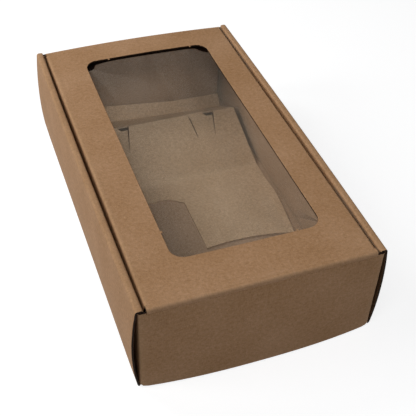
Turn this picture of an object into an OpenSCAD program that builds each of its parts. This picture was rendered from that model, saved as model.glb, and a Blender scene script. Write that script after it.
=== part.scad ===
// Gift box for two bottles, lying flat: a folded tray with rolled-over side walls,
// a hinged lid with a film window, and a loose folded insert that carries the necks.
// Millimetres, +Z up. The origin is the middle of the underside; the lid hinges at -Y.

/* [Box] */
// Length over the two short walls
box_l = 340; // [310:1:400]
// Width of the short walls, between the long walls' outer layers
panel_w = 190; // [176:1:230]
// Height of the closed box
box_h = 86; // [78:1:110]
// Thickness of the fluted board
board_t = 1.6; // [1.2:0.1:2]
// Bend radius at the middle of the board
fold_r = 1.2; // [1.1:0.1:1.8]

/* [Long side walls] */
// Play of a dust flap between the wall's two layers
hollow_play = 1.1; // [0.8:0.1:3]
// How far the outer layer bulges at half height
wall_bow = 3; // [0.5:0.5:5]
// Length of one locking tab
tab_l = 30; // [15:1:50]
// Distance between the two locking tabs of a side
tab_pitch = 180; // [80:1:240]
// Clearance round a locking tab in its floor slot
slot_gap = 0.3; // [0.1:0.1:1]

/* [Short end walls] */
// Length of a dust flap behind its fold
dust_l = 75; // [40:1:110]
// How much a dust flap narrows at each edge towards its end
dust_taper = 9; // [2:1:20]
// Drop of the wall's shoulders below the top strips
shoulder_drop = 1.4; // [0.4:0.2:4]
// Drop of the far wall's edge below the lid's top
far_drop = 2.6; // [0.5:0.1:3]

/* [Lid] */
// Open slit between the lid and a top strip
slit_w = 1.7; // [1:0.1:4]
// Gap in the crease between the near wall and the lid
crease_gap = 0.3; // [0.2:0.05:0.6]
// Clearance between the tuck flap and the far wall while the lid swings
swing_gap = 0.3; // [0.3:0.1:1]
// Height of the tuck flap's free edge above the floor
tuck_lift = 6.6; // [4:0.2:30]
// Extra lean of the tuck flap, in degrees
tuck_lean = 0.4; // [0.1:0.1:3]
// Step from the lid's long edge to the tuck flap's edge
tuck_inset = 2; // [1:0.5:8]
// Corner radius of the tuck flap
tuck_r = 12; // [4:1:25]
// Depth of the flaps along the lid's long edges
wing_l = 32; // [12:1:45]
// Distance from those flaps' ends to the lid's two folds
wing_inset = 4; // [3:0.5:10]
// How much those flaps shorten at each end towards their free edge
wing_taper = 14; // [2:1:25]

/* [Window] */
// Border left of the window
window_left = 32.2; // [20:0.1:50]
// Border right of the window
window_right = 26.6; // [20:0.1:50]
// Border at the hinge
window_near = 40; // [25:0.5:80]
// Border at the tuck flap
window_far = 29; // [20:0.5:80]
// Corner radius of the window
window_r = 11; // [4:0.5:18]
// How far the film reaches under the border
film_margin = 10; // [5:0.5:16]
// Thickness of the film
film_t = 0.2; // [0.1:0.05:0.4]

/* [Insert] */
// Gap between the insert and each side wall
insert_gap = 4.9; // [2:0.1:9]
// Height of the ridge above the box floor
ridge_h = 23.9; // [14:0.1:32]
// Distance from the far wall to the ridge
ridge_y = 58.8; // [50:0.1:80]
// Run of the slope in front of the ridge
ramp_run = 66.1; // [50:0.1:90]
// Run of the slope behind the ridge
back_run = 37.6; // [30:0.1:45]
// Rise of the flange that stands at the tuck flap
flange_rise = 10.6; // [6:0.1:16]
// Length of the full-width band at the foot of the slope
band_l = 23.5; // [10:0.5:50]
// Length of the tongue beyond that band
tongue_l = 71; // [20:1:75]
// Distance from the box's middle to the tongue's long edge
tongue_x = 0.6; // [-20:0.1:20]
// Length of the chamfer where the tongue leaves the band
tongue_chamfer_l = 8.7; // [4:0.1:15]
// Width of that chamfer
tongue_chamfer_w = 12.6; // [4:0.1:20]
// How much the tongue narrows on its wall side
tongue_taper = 6; // [0:0.5:15]

/* [Neck saddles] */
// Width of a saddle at the ridge
saddle_w = 27.9; // [20:0.1:36]
// Distance from the box's middle to the right saddle's inner edge
saddle_right_x = 36.1; // [15:0.1:38]
// Distance from the box's middle to the left saddle's inner edge
saddle_left_x = 24.5; // [15:0.1:38]
// Run of a saddle in front of the ridge
saddle_run = 27.1; // [15:0.1:40]
// Narrowing of a saddle on its left, from the ridge to its foot
saddle_taper_left = 2.7; // [0:0.1:6]
// Narrowing of a saddle on its right, from the ridge to its foot
saddle_taper_right = 6.8; // [0:0.1:8]
// How deep a saddle is pushed in at the ridge
saddle_drop = 4.4; // [2:0.1:7]
// Width of the hole beside a saddle's back part, at its fold
saddle_hole = 6; // [3:0.1:9]
// How much wider that hole is at its far end
saddle_hole_flare = 3.8; // [0:0.1:5]
// Width of a cut slit
cut_w = 0.8; // [0.3:0.1:1.2]

/* [Hidden] */
kraft_out = "#a9855f";
kraft_in = "#94765a";
film_clear = "#c8ccce66";
// Steepest turn that is mitred and not rounded, in degrees
mitre_turn = 12;
// Rounded bends: degrees of turn for one facet
bend_step = 15;
// Facets of the side walls' bulge
bow_steps = 10;
// Facets of a rounded corner
corner_steps = 8;
// Play between two layers that lie on each other
layer_gap = 0.2;
// Reach of a cutting shape past what it cuts
cut_over = 1;

half_t = board_t / 2;
fold_out = fold_r + half_t;
end_y = box_l / 2;
end_in_y = end_y - board_t;
outer_x = panel_w / 2 + layer_gap + board_t;
strip_w = 3 * board_t + hollow_play;
inner_x = outer_x - strip_w;
top_under = box_h - board_t;
shoulder_z = top_under - shoulder_drop;
strip_end_y = end_y - board_t / 2;

lid_x = inner_x - slit_w;
lid_end_y = end_in_y - swing_gap;
reach = lid_end_y + end_y;
tuck_depth = box_h - board_t - tuck_lift;
lean = asin(tuck_depth / reach) / 2 + tuck_lean;
tuck_l = tuck_depth / cos(lean);
tuck_tip_y = lid_end_y - tuck_l * sin(lean) - board_t * cos(lean);
wing_near_y = -end_y + fold_out + wing_inset;
wing_far_y = lid_end_y - fold_out - wing_inset;

floor_mid = board_t + half_t;
insert_x = inner_x - insert_gap;
ridge_mid_y = end_in_y - ridge_y;
ridge_mid_z = board_t + ridge_h - half_t;
foot_y = ridge_mid_y - ramp_run;
heel_y = ridge_mid_y + back_run;
flange_end_y = tuck_tip_y - layer_gap - half_t;
band_end_y = foot_y - band_l;
tongue_end_y = band_end_y - tongue_l;
ramp_slope = (ridge_mid_z - floor_mid) / ramp_run;
back_slope = (ridge_mid_z - floor_mid) / back_run;
saddle_foot_y = ridge_mid_y - saddle_run;
saddle_foot_z = ridge_mid_z - saddle_run * ramp_slope;
// A saddle's back part is as long as the stretch of slope it was cut from
saddle_back_run = saddle_drop / 2 / back_slope;
saddle_back_y = ridge_mid_y + saddle_back_run;
saddle_back_z = ridge_mid_z - saddle_back_run * back_slope;

// Direction from point a to point b, in degrees
function heading(a, b) = atan2(b.y - a.y, b.x - a.x);
// Unit vector to the left of a direction
function left_of(h) = [-sin(h), cos(h)];
function turn_at(path, i) =
    let (d = heading(path[i], path[i + 1]) - heading(path[i - 1], path[i]))
    d > 180 ? d - 360 : d < -180 ? d + 360 : d;
// Stations round a bend that starts at point a with direction h: [place, normal]
function arc_stations(a, h, phi, r) =
    let (s = sign(phi), c = a + s * r * left_of(h), n = ceil(abs(phi) / bend_step))
    [for (k = [0:n]) let (g = h + phi * k / n) [c - s * r * left_of(g), left_of(g)]];
function corner_stations(path, i, r) =
    let (h = heading(path[i - 1], path[i]), phi = turn_at(path, i))
    abs(phi) < mitre_turn
        ? [[path[i], left_of(h + phi / 2) / cos(phi / 2)]]
        : arc_stations(path[i] - r * tan(abs(phi) / 2) * [cos(h), sin(h)], h, phi, r);
// Stations along the middle of a board that is folded at each inner point of a path
function stations(path, r) = concat(
    [[path[0], left_of(heading(path[0], path[1]))]],
    [for (i = [1:len(path) - 2]) each corner_stations(path, i, r)],
    [[path[len(path) - 1], left_of(heading(path[len(path) - 2], path[len(path) - 1]))]]);
// Outline of a board of thickness t along those stations
function board_outline(s, t) = concat(
    [for (q = s) q[0] + q[1] * t / 2],
    [for (i = [len(s) - 1:-1:0]) s[i][0] - s[i][1] * t / 2]);
// Quarter circle of radius r about c, from angle a0
function quarter(c, r, a0) =
    [for (k = [0:corner_steps]) let (a = a0 + 90 * k / corner_steps) c + r * [cos(a), sin(a)]];
function mirrored(path) = [for (i = [len(path) - 1:-1:0]) [-path[i].x, path[i].y]];

// Section drawn in (y, z), run along x
module along_x(w) {
    rotate([90, 0, 90]) linear_extrude(w, center = true) children();
}
// Section drawn in (x, z), run along y
module along_y(l) {
    rotate([90, 0, 0]) linear_extrude(l, center = true) children();
}
module block(lo, hi) {
    translate(lo) cube(hi - lo);
}
module both_sides() {
    children();
    mirror([1, 0, 0]) children();
}

// Middle line of the right half: inner layer, top strip, bulged outer layer, floor
function side_path() = concat(
    [[inner_x + half_t, board_t + layer_gap]],
    [[inner_x + half_t, box_h - half_t]],
    [[outer_x - half_t, box_h - half_t]],
    [for (k = [1:bow_steps - 1]) let (u = k / bow_steps, z = box_h - half_t - u * (box_h - board_t))
        [outer_x - half_t + wall_bow * (1 - pow(2 * u - 1, 2)), z]],
    [[outer_x - half_t, half_t]]);

// Floor and both rolled-over side walls, as one folded board
module roll_section() {
    polygon(board_outline(stations(concat(side_path(), mirrored(side_path())), fold_r), board_t));
}

module slot(y, gap) {
    block([inner_x - gap, y - tab_l / 2 - gap, -gap], [inner_x + board_t + gap, y + tab_l / 2 + gap, board_t + gap]);
}

module tab(y) {
    block([inner_x, y - tab_l / 2, layer_gap], [inner_x + board_t, y + tab_l / 2, board_t + fold_out]);
}

module rolled_walls() {
    difference() {
        along_y(2 * strip_end_y) roll_section();
        for (s = [-1, 1]) {
            // Room for the end wall, its bottom fold and the layers' ends
            translate([0, s * (end_y - fold_out + cut_over), 0])
                block([-panel_w / 2, -cut_over, -cut_over], [panel_w / 2, cut_over, top_under]);
            for (y = [-tab_pitch / 2, tab_pitch / 2])
                mirror([s < 0 ? 1 : 0, 0, 0]) slot(y, slot_gap);
        }
    }
    both_sides() {
        for (y = [-tab_pitch / 2, tab_pitch / 2]) tab(y);
    }
}

// A flap that folds back from the end wall into the hollow side wall
module dust_flap() {
    flap_x = panel_w / 2 - half_t;
    lead_x = flap_x - fold_out - board_t;
    end_mid = -end_y + half_t;
    low_z = fold_out + layer_gap;
    flap_end = -end_y + dust_l;
    difference() {
        translate([0, 0, low_z]) linear_extrude(shoulder_z - low_z)
            polygon(board_outline(stations([[lead_x, end_mid], [flap_x, end_mid], [flap_x, flap_end]], fold_r), board_t));
        along_x(4 * panel_w) {
            polygon([[-end_y + fold_out, low_z - cut_over], [flap_end + cut_over, low_z - cut_over],
                [flap_end + cut_over, low_z + dust_taper], [-end_y + fold_out, low_z]]);
            polygon([[-end_y + fold_out, shoulder_z + cut_over], [flap_end + cut_over, shoulder_z + cut_over],
                [flap_end + cut_over, shoulder_z - dust_taper], [-end_y + fold_out, shoulder_z]]);
        }
    }
}

// End wall up to its shoulders, with its bottom fold and both dust flaps, at -Y
module end_wall() {
    wall_mid = -end_y + half_t;
    path = [[-end_y + 2 * fold_out, half_t], [wall_mid, half_t], [wall_mid, shoulder_z]];
    along_x(panel_w - 2 * fold_out) polygon(board_outline(stations(path, fold_r), board_t));
    both_sides() dust_flap();
}

// Middle of the near wall, up to its half of the crease
module crease_rise() {
    wall_mid = -end_y + half_t;
    bend_z = box_h - half_t - fold_r;
    half_turn = 45 - crease_gap / 2 / fold_r * 180 / PI;
    rise = concat([[[wall_mid, shoulder_z - cut_over], left_of(90)]],
        arc_stations([wall_mid, bend_z], 90, -half_turn, fold_r));
    along_x(2 * lid_x) polygon(board_outline(rise, board_t));
}

module far_rise() {
    block([-lid_x, end_in_y, shoulder_z - cut_over], [lid_x, end_y, box_h - far_drop]);
}

module tray() {
    color(kraft_out) union() {
        rolled_walls();
        end_wall();
        crease_rise();
        mirror([0, 1, 0]) end_wall();
        far_rise();
    }
}

// Lid panel with its half of the crease and its tuck flap, as one section
module lid_section() {
    bend_c = [-end_y + half_t + fold_r, box_h - half_t - fold_r];
    start = 45 + crease_gap / 2 / fold_r * 180 / PI;
    crease = arc_stations(bend_c + fold_r * left_of(90 - start), 90 - start, start - 90, fold_r);
    top = box_h - half_t;
    corner_y = lid_end_y - half_t * (1 + sin(lean)) / cos(lean);
    tip = [corner_y - (tuck_l - half_t) * sin(lean), top - (tuck_l - half_t) * cos(lean)];
    rest = stations([crease[len(crease) - 1][0], [corner_y, top], tip], fold_r);
    polygon(board_outline(concat(crease, [for (i = [1:len(rest) - 1]) rest[i]]), board_t));
}

// Outline in (x, z) that the lid keeps: full width at the top, the narrower flap below
module lid_front_outline() {
    flap_x = lid_x - tuck_inset;
    low_z = board_t + tuck_lift - layer_gap;
    neck_z = top_under - fold_out;
    square_top = [[lid_x, neck_z], [lid_x, box_h + cut_over], [-lid_x, box_h + cut_over], [-lid_x, neck_z]];
    left_foot = quarter([-flap_x + tuck_r, low_z + tuck_r], tuck_r, 180);
    right_foot = quarter([flap_x - tuck_r, low_z + tuck_r], tuck_r, 270);
    polygon(concat(square_top, [[-flap_x, neck_z]], left_foot, right_foot, [[flap_x, neck_z]]));
}

module window_outline() {
    x0 = -lid_x + window_left;
    x1 = lid_x - window_right;
    y0 = -end_y + window_near;
    y1 = lid_end_y - window_far;
    r = window_r;
    polygon(concat(quarter([x1 - r, y1 - r], r, 0), quarter([x0 + r, y1 - r], r, 90),
        quarter([x0 + r, y0 + r], r, 180), quarter([x1 - r, y0 + r], r, 270)));
}

// Flap that folds down from the lid's right long edge, inside the side wall
module wing() {
    edge_x = lid_x - half_t;
    top = box_h - half_t;
    foot_z = box_h - wing_l;
    outline = [[wing_near_y, box_h], [wing_near_y, top_under - fold_out], [wing_near_y + wing_taper, foot_z],
        [wing_far_y - wing_taper, foot_z], [wing_far_y, top_under - fold_out], [wing_far_y, box_h]];
    path = [[lid_x - 2 * fold_out, top], [edge_x, top], [edge_x, foot_z]];
    intersection() {
        along_y(4 * end_y) polygon(board_outline(stations(path, fold_r), board_t));
        along_x(4 * panel_w) polygon(outline);
    }
}

module lid() {
    color(kraft_out) union() {
        difference() {
            intersection() {
                along_x(2 * lid_x) lid_section();
                along_y(4 * end_y) lid_front_outline();
            }
            translate([0, 0, top_under - cut_over]) linear_extrude(board_t + 2 * cut_over) window_outline();
            both_sides() block([lid_x - fold_out, wing_near_y, top_under - cut_over],
                [lid_x + cut_over, wing_far_y, box_h + cut_over]);
        }
        both_sides() wing();
    }
}

// Clear sheet glued under the lid, round the window
module window_film() {
    x0 = -lid_x + window_left - film_margin;
    x1 = lid_x - window_right + film_margin;
    y0 = -end_y + window_near - film_margin;
    y1 = lid_end_y - window_far + film_margin;
    color(film_clear) block([x0, y0, top_under - film_t], [x1, y1, top_under]);
}

// Middle line of the insert: tongue, slope up, slope down, flange
function insert_path() = [
    [tongue_end_y, floor_mid],
    [foot_y, floor_mid],
    [ridge_mid_y, ridge_mid_z],
    [heel_y, floor_mid],
    [flange_end_y, floor_mid + flange_rise]];

// Plan of what is cut away beside the tongue
module tongue_cut() {
    far = insert_x + cut_over;
    polygon([
        [-far, band_end_y],
        [tongue_x - tongue_chamfer_w, band_end_y],
        [tongue_x, band_end_y - tongue_chamfer_l],
        [tongue_x, tongue_end_y - cut_over],
        [-far, tongue_end_y - cut_over]]);
    polygon([
        [insert_x, band_end_y],
        [far, band_end_y],
        [far, tongue_end_y - cut_over],
        [insert_x - tongue_taper, tongue_end_y - cut_over]]);
}

// Plan of a saddle's front part at left edge x, made smaller all round by m
module saddle_plan(x, m) {
    polygon([
        [x + saddle_taper_left + m, saddle_foot_y],
        [x + m, ridge_mid_y],
        [x + m, saddle_back_y],
        [x + saddle_w - m, saddle_back_y],
        [x + saddle_w - m, ridge_mid_y],
        [x + saddle_w - saddle_taper_right - m, saddle_foot_y]]);
}

// Plan of the hole beside a saddle's back part
module saddle_hole_plan(x) {
    right = x + saddle_w + cut_over;
    polygon([
        [right, ridge_mid_y],
        [x + saddle_w - saddle_hole, ridge_mid_y],
        [x + saddle_w - saddle_hole - saddle_hole_flare, saddle_back_y],
        [right, saddle_back_y]]);
}

// Strip that is pushed in between the slits to hold a bottle's neck
module saddle(x) {
    lap = board_t;
    path = [
        [saddle_foot_y - lap, saddle_foot_z - lap * ramp_slope],
        [saddle_foot_y, saddle_foot_z],
        [ridge_mid_y, ridge_mid_z - saddle_drop],
        [saddle_back_y, saddle_back_z],
        [saddle_back_y + lap, saddle_back_z - lap * back_slope]];
    intersection() {
        along_x(2 * insert_x) polygon(board_outline(stations(path, fold_r), board_t));
        linear_extrude(box_h) difference() {
            union() {
                saddle_plan(x, cut_w);
                translate([x + saddle_taper_left + cut_w, saddle_foot_y - lap])
                    square([saddle_w - saddle_taper_left - saddle_taper_right - 2 * cut_w, lap + cut_w]);
                translate([x + cut_w, saddle_back_y - cut_w])
                    square([saddle_w - saddle_hole - saddle_hole_flare - cut_w, lap + cut_w]);
            }
            saddle_hole_plan(x);
        }
    }
}

module insert() {
    saddles = [-saddle_left_x - saddle_w, saddle_right_x];
    color(kraft_in) union() {
        difference() {
            along_x(2 * insert_x) polygon(board_outline(stations(insert_path(), fold_r), board_t));
            translate([0, 0, -cut_over]) linear_extrude(box_h) tongue_cut();
            for (x = saddles) translate([0, 0, -cut_over]) linear_extrude(box_h) saddle_plan(x, 0);
        }
        for (x = saddles) saddle(x);
    }
}

tray();
lid();
window_film();
insert();
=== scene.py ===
"""Gift box for two bottles, closed and lying flat: folded kraft board, film window, loose insert."""

from __future__ import annotations

import logging
import math
from dataclasses import dataclass, field
from enum import Enum, IntEnum
from typing import Callable, Sequence

import bmesh
import bpy
from mathutils import Matrix, Vector, noise
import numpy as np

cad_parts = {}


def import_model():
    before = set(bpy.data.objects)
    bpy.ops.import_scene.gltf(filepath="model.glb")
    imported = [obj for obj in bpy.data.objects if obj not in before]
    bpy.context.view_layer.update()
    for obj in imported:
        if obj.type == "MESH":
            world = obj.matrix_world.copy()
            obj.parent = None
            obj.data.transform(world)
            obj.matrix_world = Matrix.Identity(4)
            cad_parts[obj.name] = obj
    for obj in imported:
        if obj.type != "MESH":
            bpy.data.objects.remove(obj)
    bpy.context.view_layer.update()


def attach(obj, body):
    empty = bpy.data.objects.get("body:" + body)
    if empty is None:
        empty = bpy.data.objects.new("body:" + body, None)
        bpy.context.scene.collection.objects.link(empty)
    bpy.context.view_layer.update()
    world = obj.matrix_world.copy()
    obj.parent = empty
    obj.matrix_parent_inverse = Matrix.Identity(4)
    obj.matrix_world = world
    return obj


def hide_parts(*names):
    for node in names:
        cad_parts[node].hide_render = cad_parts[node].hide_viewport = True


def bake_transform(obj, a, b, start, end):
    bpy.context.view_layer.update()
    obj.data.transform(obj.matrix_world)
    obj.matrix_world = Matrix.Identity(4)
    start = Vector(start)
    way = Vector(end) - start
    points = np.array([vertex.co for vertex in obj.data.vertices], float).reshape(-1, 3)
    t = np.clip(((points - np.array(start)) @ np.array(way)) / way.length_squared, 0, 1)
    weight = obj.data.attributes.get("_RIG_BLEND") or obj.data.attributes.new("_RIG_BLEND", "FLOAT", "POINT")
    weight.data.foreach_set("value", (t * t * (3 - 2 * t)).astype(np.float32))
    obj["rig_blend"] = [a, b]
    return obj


LOG = logging.getLogger("bottle_box")
MM = 0.001
# Millimetres within which a point counts as on a line of the blank, or at the seam of two sheets
ON_LINE = 1e-3
AT_SEAM = 0.01
Pair = tuple[float, float]
Colour = tuple[float, float, float, float]


class Side(Enum):
    """End of the box that a wall closes."""

    NEAR = -1
    FAR = 1


class Ply(IntEnum):
    """Material slot of a part of the board's surface."""

    OUTER = 0
    EDGE = 1
    INNER = 2
    # Slot of the painted shade inside the side walls' hollow.
    HOLLOW_PAINTED_SHADE = 3


def srgb(red: int, green: int, blue: int) -> Colour:
    """Turns an 8-bit display colour into the linear one that shaders take.

    Args:
        red: Red, 0 to 255.
        green: Green, 0 to 255.
        blue: Blue, 0 to 255.

    Returns:
        Linear red, green, blue and an alpha of one.
    """
    def linear(value: int) -> float:
        """Linear value of one channel."""
        v = value / 255
        return v / 12.92 if v <= 0.04045 else ((v + 0.055) / 1.055) ** 2.4

    return linear(red), linear(green), linear(blue), 1.0


def smooth(t: float) -> float:
    """Eases a share from 0 to 1, clamped."""
    t = min(max(t, 0.0), 1.0)
    return t * t * (3 - 2 * t)


def spread(lines: Sequence[float], step: float) -> list[float]:
    """Fills the gaps between lines so that none is wider than a step.

    Args:
        lines: Positions that must stay, in any order.
        step: Widest gap wanted.

    Returns:
        The sorted positions with the added ones between.
    """
    kept = sorted(set(round(v, 4) for v in lines))
    filled = [kept[0]]
    for a, b in zip(kept, kept[1:]):
        count = max(1, math.ceil((b - a) / step))
        filled += [a + (b - a) * k / count for k in range(1, count + 1)]
    return filled


@dataclass
class FoldedPath:
    """Middle line of a board's section, with a rounded bend at each inner point."""

    points: list[Pair]
    radius: float
    bend_step: float = 12.0
    pieces: list[tuple] = field(default_factory=list)
    length: float = 0.0

    def __post_init__(self) -> None:
        """Works out the straight runs and the bends, each with its start distance."""
        at = Vector(self.points[0])
        for i in range(1, len(self.points)):
            corner = Vector(self.points[i])
            heading = (corner - Vector(self.points[i - 1])).normalized()
            if i == len(self.points) - 1:
                self._add_line(at, heading, (corner - at).length)
                return
            after = (Vector(self.points[i + 1]) - corner).normalized()
            turn = math.atan2(heading.x * after.y - heading.y * after.x, heading.dot(after))
            back = self.radius * math.tan(abs(turn) / 2)
            start = corner - heading * back
            self._add_line(at, heading, (start - at).length)
            self.pieces.append(("bend", self.length, start, heading, turn))
            self.length += self.radius * abs(turn)
            at = corner + after * back

    def _add_line(self, start: Vector, heading: Vector, length: float) -> None:
        """Adds a straight run from a start point."""
        self.pieces.append(("run", self.length, start, heading, length))
        self.length += length

    def at(self, distance: float) -> Vector:
        """Point of the path at a distance from its start."""
        kind, start_s, start, heading, amount = self._piece(distance)
        d = distance - start_s
        if kind == "run":
            return start + heading * d
        sign = math.copysign(1, amount)
        side = Vector((-heading.y, heading.x)) * sign
        angle = d / self.radius
        centre = start + side * self.radius
        return centre - side * self.radius * math.cos(angle) + heading * self.radius * math.sin(angle)

    def _piece(self, distance: float) -> tuple:
        """The run or bend that holds a distance."""
        for piece in reversed(self.pieces):
            if distance >= piece[1] - 1e-6:
                return piece
        return self.pieces[0]

    def stations(self) -> list[float]:
        """Distances of every run's ends and of the facets of every bend."""
        found = [0.0, self.length]
        for kind, start_s, _, _, amount in self.pieces:
            found.append(start_s)
            if kind == "bend":
                count = math.ceil(abs(math.degrees(amount)) / self.bend_step)
                found += [start_s + self.radius * abs(amount) * k / count for k in range(count + 1)]
        return found

    def crease(self, distance: float, reach: float = 1.6) -> float:
        """How much of a fold's wear shows at a distance, from 0 to 1."""
        best = 0.0
        for kind, start_s, _, _, amount in self.pieces:
            if kind == "bend":
                middle = start_s + self.radius * abs(amount) / 2
                half = self.radius * abs(amount) / 2 + reach
                best = max(best, 1 - smooth(abs(distance - middle) / half))
        return best


def blank_middle(face: bmesh.types.BMFace, blank: bmesh.types.BMLayerItem) -> Vector:
    """Middle of a face in its flat blank."""
    return sum((v[blank] for v in face.verts), Vector()) / len(face.verts)


@dataclass
class Sheet:
    """A flat blank as a grid, which is then folded, cut and given its thickness.

    Attributes:
        across: Grid lines across the blank, in millimetres.
        along: Grid lines along the blank, in millimetres.
        place: Gives the folded place of a point of the blank.
        thickness: Thickness of the board.
        wear: Gives the wear at a point of the blank, from 0 to 1; the film's sheet carries its painted shade
            here instead.
        offset: Shifts the paper's pattern, in metres.
        inner_ply: -1 or 1 for the side that gets the inner face's finish, 0 for none.
    """

    across: list[float]
    along: list[float]
    place: Callable[[float, float], Vector]
    thickness: float
    wear: Callable[[float, float], float] = lambda u, s: 0.0
    offset: Pair = (0.0, 0.0)
    inner_ply: float = 0.0

    def grid(self) -> bmesh.types.BMesh:
        """Lays the grid out on the folded middle surface.

        Returns:
            A bmesh in millimetres whose layer "blank" holds the flat coordinates and the fold wear, which on
            the film is its painted shade.
        """
        bm = bmesh.new()
        blank = bm.verts.layers.float_vector.new("blank")
        bm.verts.layers.float.new("ply")
        nx, ny = len(self.across) - 1, len(self.along) - 1
        bmesh.ops.create_grid(bm, x_segments=nx, y_segments=ny, size=0.5)
        for v in bm.verts:
            u = self.across[round((v.co.x + 0.5) * nx)]
            s = self.along[round((v.co.y + 0.5) * ny)]
            v[blank] = Vector((u, s, self.wear(u, s)))
            v.co = self.place(u, s)
        return bm

    def keep(self, bm: bmesh.types.BMesh, inside: Callable[[float, float], bool]) -> None:
        """Cuts away every face whose middle is outside the blank's outline."""
        blank = bm.verts.layers.float_vector["blank"]
        waste = [f for f in bm.faces if not inside(*blank_middle(f, blank).xy)]
        bmesh.ops.delete(bm, geom=waste, context="FACES")

    def thicken(self, bm: bmesh.types.BMesh, joined: Callable[[Vector], bool] = lambda co: False,
                soft: float = 0.16) -> None:
        """Gives the sheet its thickness, half to each side, and eases its cut edges.

        Args:
            bm: The folded middle surface.
            joined: Tells a point of an edge that another sheet carries on from, which stays sharp.
            soft: Width of the eased edge.
        """
        blank = bm.verts.layers.float_vector["blank"]
        ply = bm.verts.layers.float["ply"]
        bm.normal_update()
        shifts = {v: v.normal * v.calc_shell_factor() * self.thickness / 2 for v in bm.verts}
        for v, shift in shifts.items():
            v.co -= shift
            v[ply] = -1.0
        front = set(bm.verts)
        bmesh.ops.solidify(bm, geom=bm.faces[:], thickness=-self.thickness)
        for v in bm.verts:
            if v not in front:
                v[ply] = 1.0
        rims = [f for f in bm.faces if len({v in front for v in f.verts}) == 2]
        for face in bm.faces:
            if self.inner_ply and all(v[ply] == self.inner_ply for v in face.verts):
                face.material_index = Ply.INNER
        for face in rims:
            face.material_index = Ply.EDGE
        bm.normal_update()
        if bm.calc_volume(signed=True) < 0:
            bmesh.ops.reverse_faces(bm, faces=bm.faces[:])
            bm.normal_update()
        if soft:
            rim_set = set(rims)
            edges = [e for e in bm.edges if len(e.link_faces) == 2
                     and len({f in rim_set for f in e.link_faces}) == 2
                     and not all(joined(v.co) for v in e.verts)]
            bmesh.ops.bevel(bm, geom=edges, offset=soft, offset_type="OFFSET", segments=1,
                            profile=0.5, affect="EDGES", clamp_overlap=True, material=-1)
        shift_x, shift_y = self.offset
        for v in bm.verts:
            v[blank] = Vector((v[blank].x * MM + shift_x, v[blank].y * MM + shift_y, v[blank].z))


def finish_piece(name: str, parts: Sequence[bmesh.types.BMesh], materials: Sequence[bpy.types.Material],
                 sharp: float = 24.0) -> bpy.types.Object:
    """Joins the sheets of one piece into an object in metres.

    Args:
        name: Name of the piece.
        parts: Its sheets in millimetres, which are used up.
        materials: Finishes of the outer face, the cut edge, the inner face and the painted shade inside the
            hollow, as far as used.
        sharp: Angle in degrees past which an edge stays sharp.

    Returns:
        The object, at the origin and linked to the scene.
    """
    mesh = bpy.data.meshes.new(name)
    whole = bmesh.new()
    for part in parts:
        scrap = bpy.data.meshes.new("scrap")
        bmesh.ops.scale(part, vec=(MM, MM, MM), verts=part.verts[:])
        part.to_mesh(scrap)
        part.free()
        whole.from_mesh(scrap)
        bpy.data.meshes.remove(scrap)
    for face in whole.faces:
        face.smooth = True
    whole.to_mesh(mesh)
    whole.free()
    mesh.set_sharp_from_angle(angle=math.radians(sharp))
    for material in materials:
        mesh.materials.append(material)
    piece = bpy.data.objects.new(name, mesh)
    bpy.context.scene.collection.objects.link(piece)
    LOG.info("%s: %d faces", name, len(mesh.polygons))
    return piece


@dataclass(frozen=True)
class Wave:
    """Slow unevenness of a sheet.

    Attributes:
        height: Greatest height in millimetres.
        size: Width of one wave in millimetres.
        seed: Shifts the pattern.
    """

    height: float
    size: float
    seed: float

    def at(self, x: float, y: float, z: float = 0.0) -> float:
        """Height at a place, all in millimetres."""
        shift = Vector((self.seed, self.seed * 0.7, -self.seed))
        return self.height * noise.noise(Vector((x, y, z)) / self.size + shift)


@dataclass(frozen=True)
class BoxSizes:
    """Sizes that the board pieces share, in millimetres.

    They are those of the solids, apart from a slightly wider slit and slightly higher shoulders, which
    the photograph shows.
    """

    length: float = 340.0
    panel: float = 190.0
    height: float = 86.0
    board: float = 1.6
    fold: float = 1.2
    layer_gap: float = 0.2
    hollow_play: float = 1.1
    slit: float = 2.0
    shoulder_drop: float = 0.9
    seam_reach: float = 4.1

    @property
    def half(self) -> float:
        """Half the board's thickness."""
        return self.board / 2

    @property
    def end(self) -> float:
        """Distance from the middle to an end wall's face."""
        return self.length / 2

    @property
    def outer(self) -> float:
        """Distance from the middle to a side wall's outer face, at its folds."""
        return self.panel / 2 + self.layer_gap + self.board

    @property
    def inner(self) -> float:
        """Distance from the middle to a side wall's inner face."""
        return self.outer - 3 * self.board - self.hollow_play

    @property
    def lid(self) -> float:
        """Half the lid's width."""
        return self.inner - self.slit

    @property
    def shoulder(self) -> float:
        """Height of an end wall's shoulders."""
        return self.height - self.board - self.shoulder_drop

    @property
    def top(self) -> float:
        """Height of the lid's middle surface."""
        return self.height - self.half

    @property
    def floor_seam(self) -> float:
        """Height below which an end wall's bottom fold meets the floor."""
        return 2.5 * self.board

    @property
    def seam_wall(self) -> float:
        """Height at which the near wall hands over to the crease."""
        return self.height - self.seam_reach

    @property
    def seam_lid(self) -> float:
        """Place along Y at which the crease hands over to the lid."""
        return -self.end + self.seam_reach


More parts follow.
